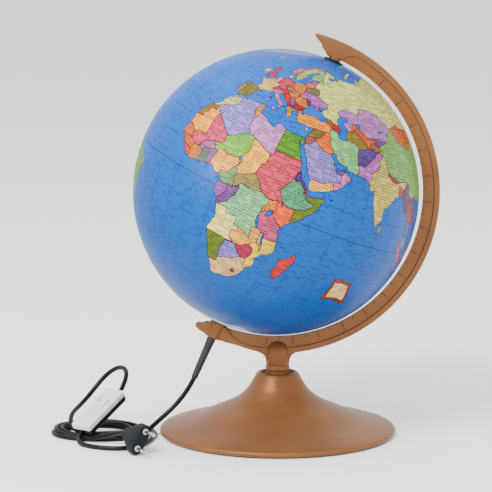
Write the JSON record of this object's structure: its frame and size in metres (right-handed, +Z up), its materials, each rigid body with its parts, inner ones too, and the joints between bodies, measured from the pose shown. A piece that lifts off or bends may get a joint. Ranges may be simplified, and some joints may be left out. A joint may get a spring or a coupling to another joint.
{
  "type": "desktop globe on stand",
  "caption": "Tilted illuminated desk globe held by a graduated half-circle arm on a round trumpet base, with mains lead, inline rocker switch and flat plug.",
  "frame": {"origin": "centre of the felt disc's underside, on the table", "axes": "+Z up out of the table; +X towards the side of the arm, which lies in the XZ plane; the polar axis leans 23.5 degrees from +Z towards +X"},
  "size_m": [0.4105, 0.3, 0.4246],
  "materials": {
    "bronze_plastic": "moulded polystyrene sprayed with a satin bronze lacquer",
    "cast_iron": "rough grey iron casting",
    "black_plastic": "moulded black plastic, light spark texture",
    "plated_steel": "turned steel, bright zinc plating",
    "felt": "pressed wool felt",
    "printed_globe": "printed map film laminated on a vacuum-formed styrene shell",
    "white_plastic": "moulded white styrene",
    "brass": "pressed sheet brass",
    "lamp_porcelain": "pressed electrical porcelain, thin glaze",
    "core_pvc": "extruded core insulation",
    "bulb_glass": "blown glass, frosted inside",
    "filament_metal": "drawn tungsten wire",
    "lead_pvc": "extruded black PVC sheath",
    "relief_rubber": "moulded brown rubber",
    "switch_black": "moulded black thermoplastic",
    "switch_grey": "moulded light grey thermoplastic",
    "red_plastic": "moulded red insert",
    "plug_pvc": "overmoulded black PVC",
    "nickel_brass": "turned brass, nickel plated",
    "bridge_plastic": "moulded light insert that holds the pins",
    "sleeve_plastic": "moulded black sleeves"
  },
  "bodies": {
    "stand": {"base_shell": "bronze_plastic", "ballast_plate": "cast_iron", "base_cover": "black_plastic", "cover_screws": "plated_steel", "felt_disc": "felt", "post_screw": "plated_steel", "post_washer": "plated_steel", "meridian_arm": "bronze_plastic", "north_pivot_pin": "plated_steel", "lamp_stem": "plated_steel", "stem_nut": "plated_steel", "lamp_holder": "lamp_porcelain", "holder_shell": "brass", "holder_contact": "brass", "holder_terminals": "brass", "lead_cores": "core_pvc", "bulb_glass": "bulb_glass", "bulb_cap": "brass", "bulb_contact": "plated_steel", "bulb_stem": "bulb_glass", "bulb_filament": "filament_metal", "lamp_lead": "lead_pvc", "strain_relief": "relief_rubber", "cord_lead": "lead_pvc", "cord_hank": "lead_pvc", "cord_loop": "lead_pvc", "cord_tail": "lead_pvc", "cord_plug": "lead_pvc", "switch_base": "switch_black", "switch_cover": "switch_grey", "switch_screws": "plated_steel", "switch_contacts": "brass", "switch_terminals": "brass", "plug_body": "plug_pvc", "pin_bridge": "bridge_plastic", "plug_pins": "nickel_brass", "plug_sleeves": "sleeve_plastic"},
    "globe": {"north_hemisphere": "printed_globe", "south_hemisphere": "printed_globe", "joint_ring": "white_plastic", "north_pole_bush": "black_plastic", "south_pole_bush": "black_plastic"},
    "rocker": {"switch_rocker": "switch_grey", "rocker_dot": "red_plastic"}
  },
  "joints": [
    {"name": "globe_spin", "type": "hinge", "parent": "stand", "child": "globe", "pos_m": [-0.002, 0, 0.258], "axis": [0.3987, 0, 0.9171], "continuous": true},
    {"name": "switch_rocker", "type": "hinge", "parent": "stand", "child": "rocker", "pos_m": [-0.18699, -0.02437, 0.03088], "axis": [-0.7771, 0.6293, 0], "range_deg": [0, 16]}
  ]
}
